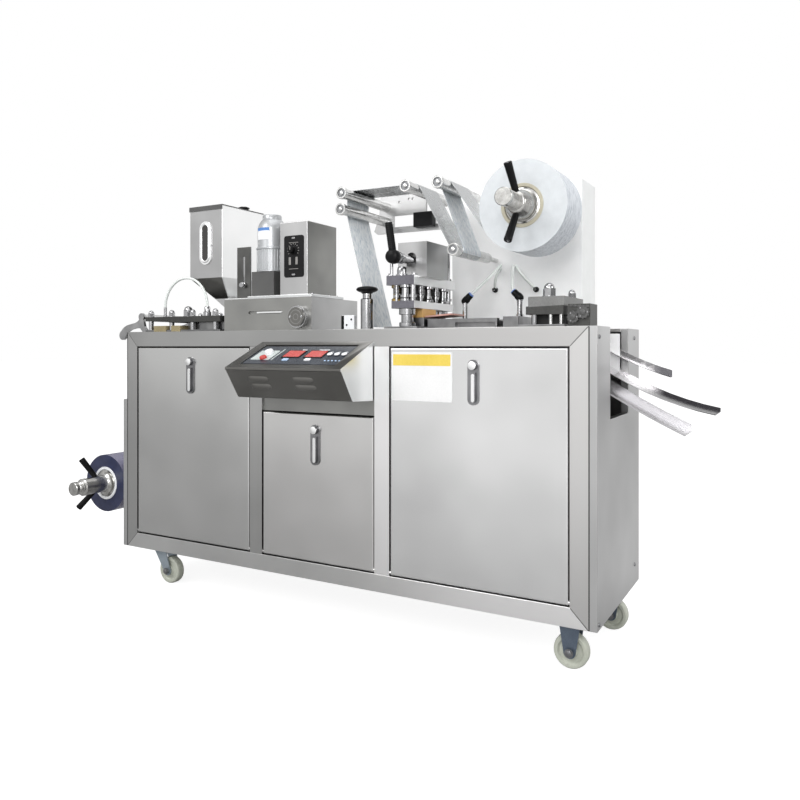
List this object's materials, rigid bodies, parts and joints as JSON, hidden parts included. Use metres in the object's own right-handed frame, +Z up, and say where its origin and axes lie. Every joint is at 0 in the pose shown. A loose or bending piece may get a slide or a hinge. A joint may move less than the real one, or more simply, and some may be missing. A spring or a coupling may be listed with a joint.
{
  "type": "blister packing machine",
  "caption": "Flat-plate blister packing machine: steel cabinet on castors with a feeder hopper, forming, sealing and punching stations, film and foil reels and a control console.",
  "frame": {"origin": "middle of the footprint, on the floor under the castors", "axes": "+X along the film path from the film reel to the chutes, +Y away from the operator, +Z up"},
  "size_m": [1.817, 0.6, 1.099],
  "materials": {
    "cabinet_steel": "satin",
    "frame_steel": "satin",
    "dark_paint": "satin",
    "dark_plate": "satin",
    "white_paint": "satin",
    "chrome": "polished",
    "machined_steel": "satin",
    "black_plastic": "matte",
    "tan_board": "matte",
    "film_blue": "gloss",
    "foil": "satin",
    "hose": "gloss",
    "window": "gloss",
    "nylon": "satin",
    "castor_steel": "satin"
  },
  "bodies": {
    "machine": {"front_rails": "frame_steel", "front_stiles": "frame_steel", "console_backing": "cabinet_steel", "table_top": "frame_steel", "base_pan": "cabinet_steel", "back_panel": "cabinet_steel", "left_end_panel": "cabinet_steel", "left_end_cover": "cabinet_steel", "right_end_cover": "cabinet_steel", "console_housing": "dark_paint", "keypad": "black_plastic", "feeder_base": "cabinet_steel", "feeder_lid": "frame_steel", "hopper": "cabinet_steel", "hopper_window": "window", "gate_plate": "dark_paint", "feeder_motor": "white_paint", "motor_gearbox": "dark_paint", "speed_control_box": "cabinet_steel", "station_beds": "machined_steel", "insulation_blocks": "tan_board", "heater_plate": "dark_plate", "guide_posts": "chrome", "sealing_plates": "dark_plate", "sealing_block": "machined_steel", "punch_plates": "dark_plate", "drive_chain": "black_plastic", "film_guide_arms": "machined_steel", "guide_rollers": "machined_steel", "roller_plate": "machined_steel", "film_bracket": "dark_paint", "clamp_knob": "black_plastic", "foil_web": "foil", "upright_box": "white_paint", "air_hoses": "hose", "air_fittings": "black_plastic", "discharge_chutes": "cabinet_steel", "rigid_castor_forks": "castor_steel"},
    "left_panel": {"left_door": "cabinet_steel", "left_lock": "chrome"},
    "middle_panel": {"middle_door": "cabinet_steel", "middle_lock": "chrome"},
    "right_panel": {"right_door": "cabinet_steel", "right_lock": "chrome"},
    "film_reel": {"film_spindle": "chrome", "film_roll": "film_blue", "film_handles": "black_plastic"},
    "foil_reel": {"foil_spindle": "chrome", "foil_roll": "foil", "foil_handles": "black_plastic"},
    "cam_lever": {"cam_shaft": "chrome", "cam_grip": "black_plastic"},
    "hopper_cover": {"hopper_lid": "cabinet_steel"},
    "front_left_swivel": {"fork_front_left": "castor_steel"},
    "back_left_swivel": {"fork_back_left": "castor_steel"},
    "front_left_wheel": {"wheel_front_left": "nylon"},
    "back_left_wheel": {"wheel_back_left": "nylon"},
    "front_right_wheel": {"wheel_front_right": "nylon"},
    "back_right_wheel": {"wheel_back_right": "nylon"}
  },
  "joints": [
    {"name": "left_panel_tilt", "type": "hinge", "parent": "machine", "child": "left_panel", "pos_m": [-0.405, -0.155, 0.15], "axis": [1, 0, 0], "range_deg": [0, 25]},
    {"name": "middle_panel_tilt", "type": "hinge", "parent": "machine", "child": "middle_panel", "pos_m": [0.014, -0.155, 0.15], "axis": [1, 0, 0], "range_deg": [0, 25]},
    {"name": "right_panel_tilt", "type": "hinge", "parent": "machine", "child": "right_panel", "pos_m": [0.4375, -0.155, 0.15], "axis": [1, 0, 0], "range_deg": [0, 25]},
    {"name": "film_reel_spin", "type": "hinge", "parent": "machine", "child": "film_reel", "pos_m": [-0.8215, 0, 0.257], "axis": [0, 1, 0], "continuous": true},
    {"name": "foil_reel_spin", "type": "hinge", "parent": "machine", "child": "foil_reel", "pos_m": [0.5165, 0, 0.995], "axis": [0, 1, 0], "continuous": true},
    {"name": "cam_lever_swing", "type": "hinge", "parent": "machine", "child": "cam_lever", "pos_m": [0.2465, -0.12, 0.884], "axis": [0, 1, 0], "range_deg": [0, 90]},
    {"name": "hopper_lid_lift", "type": "slide", "parent": "machine", "child": "hopper_cover", "axis": [0, 0, 1], "range_m": [0, 0.05]},
    {"name": "front_left_swivel_turn", "type": "hinge", "parent": "machine", "child": "front_left_swivel", "pos_m": [-0.5535, -0.112, 0.095], "axis": [0, 0, 1], "continuous": true},
    {"name": "front_left_wheel_spin", "type": "hinge", "parent": "front_left_swivel", "child": "front_left_wheel", "pos_m": [-0.5255, -0.112, 0.0375], "axis": [0, 1, 0], "continuous": true},
    {"name": "front_right_wheel_spin", "type": "hinge", "parent": "machine", "child": "front_right_wheel", "pos_m": [0.6425, -0.112, 0.0375], "axis": [0, 1, 0], "continuous": true},
    {"name": "back_left_swivel_turn", "type": "hinge", "parent": "machine", "child": "back_left_swivel", "pos_m": [-0.5535, 0.192, 0.095], "axis": [0, 0, 1], "continuous": true},
    {"name": "back_left_wheel_spin", "type": "hinge", "parent": "back_left_swivel", "child": "back_left_wheel", "pos_m": [-0.5255, 0.192, 0.0375], "axis": [0, 1, 0], "continuous": true},
    {"name": "back_right_wheel_spin", "type": "hinge", "parent": "machine", "child": "back_right_wheel", "pos_m": [0.6645, 0.15, 0.0375], "axis": [0, 1, 0], "continuous": true}
  ]
}
